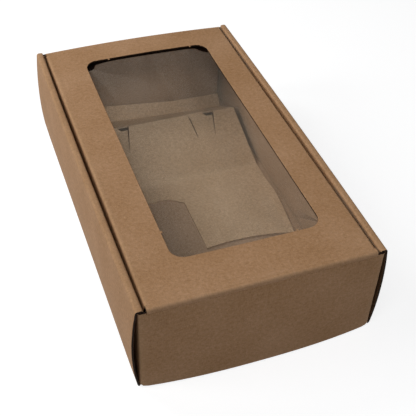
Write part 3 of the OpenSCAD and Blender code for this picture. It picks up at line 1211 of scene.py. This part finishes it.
    def crease(self) -> bmesh.types.BMesh:
        """The fold between the near wall and the lid."""
        z = self.sizes
        mid_y = -z.end + z.half
        path = FoldedPath([(mid_y, z.seam_wall), (mid_y, z.top), (z.seam_lid, z.top)], z.fold)
        sheet = Sheet(spread([-z.lid, z.lid], self.step), spread(path.stations(), self.crease_step),
                      lambda u, s: Vector((u, *path.at(s))), z.board, offset=self.paper_offset,
                      wear=lambda u, s: 1.1 * path.crease(s, 1.2), inner_ply=-1.0)
        bm = sheet.grid()
        sheet.thicken(bm, lambda co: abs(co.z - z.seam_wall) < AT_SEAM or abs(co.y - z.seam_lid) < AT_SEAM)
        return bm

    def film(self) -> bmesh.types.BMesh:
        """Film glued under the lid, slack between its glued borders."""
        z = self.sizes
        window = self.window
        m = self.film_margin
        x0, x1 = window.left - m, window.right + m
        y0, y1 = window.near - m, window.far + m
        under = z.height - z.board - self.film_thickness / 2 - self.film_gap

        def place(x: float, y: float) -> Vector:
            """Place of a point of the slack film."""
            depth = -window.gap(x, y)
            slack = self.slack * smooth(depth / self.slack_run)
            slack += smooth((depth + 2) / 8) * self.wrinkle.at(x, y)
            loose = smooth((depth + m - 1) / 6) * smooth(1 - abs(y - window.far) / self.loose_run)
            at_left = smooth(1 - abs(x - window.left) / self.loose_width_left)
            at_right = smooth(1 - abs(x - window.right) / self.loose_width_right)
            slack += loose * (self.loose_far + self.loose_left * at_left + self.loose_right * at_right)
            return Vector((x, y, under + self.sag(x, y) - slack))

        def shade(x: float, y: float) -> float:
            """How much painted shade lies on the film at a place: the far cut edge's dark reflection and the
            shadow under the board's edge.
            """
            r = self.window_radius
            depth = -window.gap(x, y)
            if y < window.far - r - 1:
                return 0.0
            wide = self.shade_wide
            for corner, deepest in ((window.left + r, self.shade_left), (window.right - r, self.shade_right)):
                if (x - corner) * (corner - (window.left + window.right) / 2) > 0:
                    turn = math.atan2(y - window.far + r, abs(x - corner))
                    wide += deepest * smooth((math.pi / 2 - turn) / 0.7) * smooth((turn + 0.15) / 0.4)
            return 1 - smooth((depth - wide + self.shade_soft) / (2 * self.shade_soft))

        fine = [float(k) for k in range(-1, round(self.window_radius) + 3)]
        across = spread([x0, x1] + [window.left + k for k in fine] + [window.right - k for k in fine],
                        self.film_step)
        along = spread([y0, y1] + [window.far - k for k in fine], self.film_step)
        sheet = Sheet(across, along, place, self.film_thickness, wear=shade)
        bm = sheet.grid()
        sheet.thicken(bm, soft=0.0)
        for face in bm.faces:
            face.material_index = Ply.OUTER
        return bm

    def build(self, board: Sequence[bpy.types.Material], clear: bpy.types.Material) -> list[bpy.types.Object]:
        """Builds the lid, its crease and its film, each as its own piece."""
        z = self.sizes
        lid = finish_piece("lid_board", self.panel() + [self.nicks()], board)
        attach(lid, "lid_panel")
        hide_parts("lid")
        film = finish_piece("window_clear_film", [self.film()], [clear], sharp=60.0)
        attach(film, "lid_panel")
        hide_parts("window_film")
        crease = finish_piece("lid_crease", [self.crease()], board)
        wall = -z.end + z.half
        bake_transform(crease, "box", "lid_panel", start=(0.0, wall * MM, z.seam_wall * MM),
                 end=(0.0, z.seam_lid * MM, z.top * MM))
        return [lid, film, crease]


@dataclass
class Insert:
    """Loose folded insert: tongue, slope up, slope down and flange, with two neck saddles.

    Lengths are in millimetres; the two twists are slopes across the box.
    """

    sizes: BoxSizes
    side_gap: float = 4.9
    ridge_height: float = 23.9
    ridge_from_far: float = 58.8
    ramp_run: float = 66.1
    back_run: float = 37.6
    ridge_crown: float = 1.0
    flange_rise: float = 10.6
    flange_end: float = 155.9
    band: float = 23.5
    tongue: float = 71.0
    tongue_left: float = 0.6
    chamfer_length: float = 8.7
    chamfer_width: float = 12.6
    tongue_taper: float = 6.0
    tongue_spread: float = 1.8
    tongue_arch: float = 4.4
    tongue_drop: float = 2.1
    arch_middle: float = 29.0
    arch_half: float = 41.0
    tongue_run: float = 20.0
    twist_back: float = 0.052
    twist_flange: float = 0.062
    twist_start: float = 8.0
    twist_run: float = 12.0
    twist_axis: float = 0.35
    lowest_twist: float = -0.6
    wave: Wave = Wave(0.5, 60.0, 5.5)
    wave_start: float = 6.0
    wave_run: float = 20.0
    saddle_width: float = 27.9
    saddle_lefts: tuple[float, float] = (-52.4, 36.1)
    saddle_run: float = 27.1
    taper_left: float = 2.7
    taper_right: float = 6.8
    taper_run: float = 14.0
    saddle_drop: float = 4.4
    hole: float = 7.6
    hole_flare: float = 3.8
    slit_left: float = 2.9
    slit_right: float = 1.1
    step: float = 6.0

    def __post_init__(self) -> None:
        """Works out the folded section and its main places."""
        z = self.sizes
        self.half_width = z.inner - self.side_gap
        low = z.board + z.half
        self.ridge_y = z.end - z.board - self.ridge_from_far
        ridge_z = z.board + self.ridge_height - z.half
        self.foot_y = self.ridge_y - self.ramp_run
        self.heel_y = self.ridge_y + self.back_run
        self.band_y = self.foot_y - self.band
        self.end_y = self.band_y - self.tongue
        self.path = FoldedPath([(self.end_y, low), (self.foot_y, low), (self.ridge_y, ridge_z),
                                (self.heel_y, low), (self.flange_end, low + self.flange_rise)], z.fold)
        bends = [p for p in self.path.pieces if p[0] == "bend"]
        self.fold_s = [p[1] + z.fold * abs(p[4]) / 2 for p in bends]
        slope = self.ramp_run / math.hypot(self.ramp_run, ridge_z - low)
        self.saddle_foot_s = self.fold_s[1] - self.saddle_run / slope
        back_slope = (ridge_z - low) / self.back_run
        run = self.saddle_drop / 2 / back_slope
        self.saddle_back_s = self.fold_s[1] + run * math.hypot(1, back_slope)

    def edges(self, s: float) -> Pair:
        """Left and right edge of the tongue at a distance from its end."""
        before = max(0.0, self.tongue - s)
        left = self.tongue_left - self.chamfer_width * (1 - min(before / self.chamfer_length, 1.0))
        spread_out = self.tongue_spread * smooth(before / self.tongue_run)
        return left, self.half_width + spread_out - self.tongue_taper * (before / self.tongue) ** 2

    def saddle_knots(self, left: float, s: float) -> tuple[float, float]:
        """How far a saddle's left and right slits lie inside its width at the ridge."""
        if s >= self.fold_s[1]:
            return left, left + self.saddle_width
        share = min(1.0, (self.fold_s[1] - s) / (self.fold_s[1] - self.saddle_foot_s))
        share *= smooth((s - self.saddle_foot_s + self.taper_run) / self.taper_run)
        return left + self.taper_left * share, left + self.saddle_width - self.taper_right * share

    def to_x(self, u: float, s: float) -> float:
        """Place across the box of a line of the blank."""
        if s < self.tongue:
            left, right = self.edges(s)
            from_left = self.tongue_left - self.chamfer_width
            return left + (u - from_left) * (right - left) / (self.half_width - from_left)
        knots = [(-self.half_width, -self.half_width)]
        for saddle in self.saddle_lefts:
            a, b = self.saddle_knots(saddle, s)
            knots += [(saddle, a), (saddle + self.saddle_width, b)]
        knots.append((self.half_width, self.half_width))
        for (u0, x0), (u1, x1) in zip(knots, knots[1:]):
            if u <= u1 + 1e-6:
                return x0 + (x1 - x0) * (u - u0) / (u1 - u0)
        return u

    def twist(self, x: float, s: float) -> float:
        """How far the far part is lifted, more at the left."""
        past = s - self.fold_s[1] - self.twist_start
        share = smooth(past / (self.fold_s[2] - self.fold_s[1] - self.twist_start))
        at_flange = smooth((s - self.fold_s[2]) / self.twist_run)
        return share * (self.twist_back + self.twist_flange * at_flange) * (
            self.half_width * self.twist_axis - x)

    def place(self, u: float, s: float) -> Vector:
        """Folded place of a point of the blank."""
        x = self.to_x(u, s)
        p = self.path.at(s)
        y, height = p.x, p.y
        if s < self.tongue:
            off = (x - self.arch_middle) / self.arch_half
            y += (self.tongue_arch * (1 - off ** 2) - self.tongue_drop) * smooth(1 - s / self.tongue_run)
        height += max(self.twist(x, s), self.lowest_twist)
        at_ridge = smooth(1 - abs(s - self.fold_s[1]) / self.back_run)
        height += self.ridge_crown * at_ridge * (1 - (x / self.half_width) ** 2)
        past = s - self.fold_s[0] - self.wave_start
        if past > 0:
            height += smooth(past / self.wave_run) * self.wave.at(x, y)
        return Vector((x, y, height))

    def push_saddle(self, bm: bmesh.types.BMesh, left: float) -> None:
        """Frees a saddle along its slits and pushes it in at the ridge.

        Args:
            bm: The folded grid.
            left: Line of its left slit.
        """
        blank = bm.verts.layers.float_vector["blank"]
        right = left + self.saddle_width
        foot, top, back = self.saddle_foot_s, self.fold_s[1], self.saddle_back_s

        def on_slit(edge: bmesh.types.BMEdge) -> bool:
            """Tells the edges of the two slits."""
            a, b = (v[blank] for v in edge.verts)
            along = foot - ON_LINE < min(a.y, b.y) and max(a.y, b.y) < back + ON_LINE
            on_line = min(abs(a.x - left), abs(a.x - right)) < ON_LINE
            return along and on_line and abs(a.x - b.x) < ON_LINE

        def in_saddle(middle: Vector) -> bool:
            """Tells whether the middle of a face lies in the saddle."""
            return left < middle.x < right and foot < middle.y < back

        bmesh.ops.split_edges(bm, edges=[e for e in bm.edges if on_slit(e)])
        strip = {v for f in bm.faces if in_saddle(blank_middle(f, blank)) for v in f.verts}
        for v in strip:
            u, s = v[blank].x, v[blank].y
            if s <= top:
                share = (s - foot) / (top - foot)
            else:
                share = (back - s) / (back - top)
            v.co.z -= self.saddle_drop * min(max(share, 0.0), 1.0)
            if share > ON_LINE and abs(u - left) < ON_LINE:
                v.co.x += self.slit_left * (0.25 + 0.75 * share)
            elif share > ON_LINE and abs(u - right) < ON_LINE:
                v.co.x -= self.slit_right * (0.4 + 0.6 * share)
            if s > top and abs(u - right + self.hole) < ON_LINE:
                v.co.x -= self.hole_flare * (s - top) / (back - top)

    def build(self, board: Sequence[bpy.types.Material]) -> bpy.types.Object:
        """Builds the insert as one piece."""
        z = self.sizes
        from_left = self.tongue_left - self.chamfer_width
        lines = [-self.half_width, self.half_width, from_left]
        holes = []
        for left in self.saddle_lefts:
            right = left + self.saddle_width
            holes.append((right - self.hole, right))
            lines += [left, right, right - self.hole]
        chamfer_s = self.tongue - self.chamfer_length
        along = self.path.stations() + self.fold_s + [self.tongue, chamfer_s, self.saddle_foot_s,
                                                      self.saddle_back_s]
        sheet = Sheet(spread(lines, self.step), spread(along, self.step), self.place, z.board,
                      offset=(2.2, -0.8), wear=lambda u, s: self.path.crease(s, 0.6))
        bm = sheet.grid()

        def inside(u: float, s: float) -> bool:
            """Tells what stays of the blank."""
            if s < self.tongue and u < from_left:
                return False
            in_back = self.fold_s[1] < s < self.saddle_back_s
            return not (in_back and any(a < u < b for a, b in holes))

        sheet.keep(bm, inside)
        for left in self.saddle_lefts:
            self.push_saddle(bm, left)
        sheet.thicken(bm)
        insert = finish_piece("neck_insert", [bm], board)
        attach(insert, "box")
        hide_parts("insert")
        return insert


@dataclass(frozen=True)
class Lamp:
    """A soft rectangular lamp aimed at the box."""

    name: str
    place: tuple[float, float, float]
    aim: tuple[float, float, float]
    size: float
    power: float
    tint: tuple[float, float, float] = (1.0, 1.0, 1.0)

    def add(self) -> None:
        """Puts the lamp in the scene."""
        data = bpy.data.lights.new(self.name, "AREA")
        data.shape = "DISK"
        data.size = self.size
        data.energy = self.power
        data.color = self.tint
        lamp = bpy.data.objects.new(self.name, data)
        lamp.location = self.place
        lamp.rotation_euler = (Vector(self.aim) - Vector(self.place)).to_track_quat("-Z", "Y").to_euler()
        bpy.context.scene.collection.objects.link(lamp)


@dataclass
class Studio:
    """Camera, lamps, world and floor."""

    eye: tuple[float, float, float] = (-0.184936, -0.516319, 0.511259)
    azimuth: float = 21.62
    elevation: float = -42.582
    roll: float = 2.612
    focal_pixels: float = 815.645
    frame_pixels: float = 416.0
    sensor: float = 36.0
    lamps: tuple[Lamp, ...] = (
        Lamp("key", (-0.55, 0.65, 0.8), (0.0, 0.0, 0.04), 0.45, 4.8),
        Lamp("left", (-1.6, 0.2, 0.95), (0.0, 0.0, 0.04), 0.7, 9.4),
        Lamp("front_left", (-0.5, -0.6, 1.5), (0.0, 0.0, 0.04), 0.6, 4.4),
        Lamp("front_right", (0.15, -0.6, 1.5), (0.0, 0.0, 0.04), 0.6, 2.8),
        Lamp("low", (0.4, -1.5, 0.95), (0.0, 0.0, 0.04), 0.5, 3.8, (0.9, 0.98, 1.12)),
    )
    floor_size: float = 6.0
    floor_light: float = 0.78
    floor_tones: Pair = (0.40, 0.43)

    def add_camera(self) -> None:
        """Sets the camera at the photograph's view."""
        az, el, roll = (math.radians(a) for a in (self.azimuth, self.elevation, self.roll))
        ahead = Vector((math.sin(az) * math.cos(el), math.cos(az) * math.cos(el), math.sin(el)))
        right = ahead.cross(Vector((0, 0, 1))).normalized()
        up = right.cross(ahead)
        right, up = (right * math.cos(roll) + up * math.sin(roll),
                     up * math.cos(roll) - right * math.sin(roll))
        data = bpy.data.cameras.new("camera")
        data.sensor_fit = "HORIZONTAL"
        data.sensor_width = self.sensor
        data.lens = self.focal_pixels * self.sensor / self.frame_pixels
        camera = bpy.data.objects.new("camera", data)
        camera.matrix_world = Matrix.Translation(self.eye) @ Matrix((right, up, -ahead)).transposed().to_4x4()
        bpy.context.scene.collection.objects.link(camera)
        bpy.context.scene.camera = camera

    @staticmethod
    def seen_directly(bench: NodeBench) -> bpy.types.NodeSocket:
        """One for rays that show the background: camera, glossy and transmission rays."""
        path = bench.add("ShaderNodeLightPath").outputs
        seen = bench.math("MAXIMUM", path["Is Camera Ray"], path["Is Glossy Ray"])
        return bench.math("MAXIMUM", seen, path["Is Transmission Ray"])

    def add_world(self) -> None:
        """A world that shows white behind everything and lights nothing itself."""
        world = bpy.data.worlds.new("studio")
        world.use_nodes = True
        bench = NodeBench(world.node_tree)
        back = world.node_tree.nodes["Background"]
        back.inputs["Color"].default_value = (1.0, 1.0, 1.0, 1.0)
        bench.feed(back, Strength=self.seen_directly(bench))
        bpy.context.scene.world = world

    def add_floor(self) -> None:
        """A pale floor with fine unevenness, which keeps the box's shadow."""
        bm = bmesh.new()
        bmesh.ops.create_grid(bm, x_segments=8, y_segments=8, size=self.floor_size / 2)
        mesh = bpy.data.meshes.new("floor")
        bm.to_mesh(mesh)
        bm.free()
        floor = bpy.data.objects.new("floor", mesh)
        bpy.context.scene.collection.objects.link(floor)
        material, bench, shader = new_material("pale_floor")
        soft = bench.noise(bench.add("ShaderNodeTexCoord").outputs["Object"], 6.0, 3.0)
        dark, pale = ((tone, tone, tone, 1.0) for tone in self.floor_tones)
        bench.feed(shader, Base_Color=bench.blend("MIX", soft, dark, pale),
                   Emission_Strength=bench.times(self.seen_directly(bench), self.floor_light))
        shader.inputs["Roughness"].default_value = 0.95
        shader.inputs["Specular IOR Level"].default_value = 0.0
        shader.inputs["Emission Color"].default_value = (1.0, 1.0, 1.0, 1.0)
        mesh.materials.append(material)

    def build(self) -> None:
        """Adds everything round the box."""
        self.add_camera()
        self.add_world()
        self.add_floor()
        for lamp in self.lamps:
            lamp.add()
        bpy.context.scene.view_settings.view_transform = "Standard"


def main() -> None:
    logging.basicConfig(level=logging.INFO, format="%(name)s %(message)s")
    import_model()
    Studio().build()
    sizes = BoxSizes()
    grain = PaperGrain()
    kraft = BoardFinish("kraft_board", srgb(172, 132, 95), srgb(192, 156, 119)).make(grain)
    liner = BoardFinish("kraft_liner", srgb(167, 138, 110), srgb(180, 152, 124)).make(grain)
    # Painted shade: a darker kraft for the inside of the side walls' hollow, standing in for the shade there.
    hollow = BoardFinish("kraft_hollow_painted_shade", srgb(98, 72, 49), srgb(110, 84, 60)).make(grain)
    grey = BoardFinish("insert_board", srgb(198, 168, 134), srgb(222, 194, 160), fibre=0.6, mottle=0.72,
                       wear=0.6).make(grain)
    # Painted shade: the board's cut edge is far darker than bare board, near black in the flute gaps,
    # standing in for the shade on the edge.
    edge = CutEdgeFinish("board_edge_painted_shade", srgb(58, 37, 22), srgb(10, 7, 4)).make(grain)
    # Painted light: the insert's cut edge, flute gaps included, is about as pale as its face, lifting out the
    # shade on the edge.
    pale_painted_edge = CutEdgeFinish("insert_edge_painted_light", srgb(202, 174, 143), srgb(186, 158, 128)).make(grain)
    # srgb(20, 12, 8) is the colour of the film's painted shade.
    clear = FilmFinish("clear_film", srgb(204, 188, 168), srgb(20, 12, 8), haze=0.055, streak=0.025,
                       gloss=0.2).make()
    board = (kraft, edge, liner)
    pieces = [Tray(sizes).build((*board, hollow))]
    pieces += Lid(sizes).build(board, clear)
    pieces.append(Insert(sizes).build((grey, pale_painted_edge)))
    for piece in pieces:
        LOG.info("%s done", piece.name)


if __name__ == "__main__":
    main()
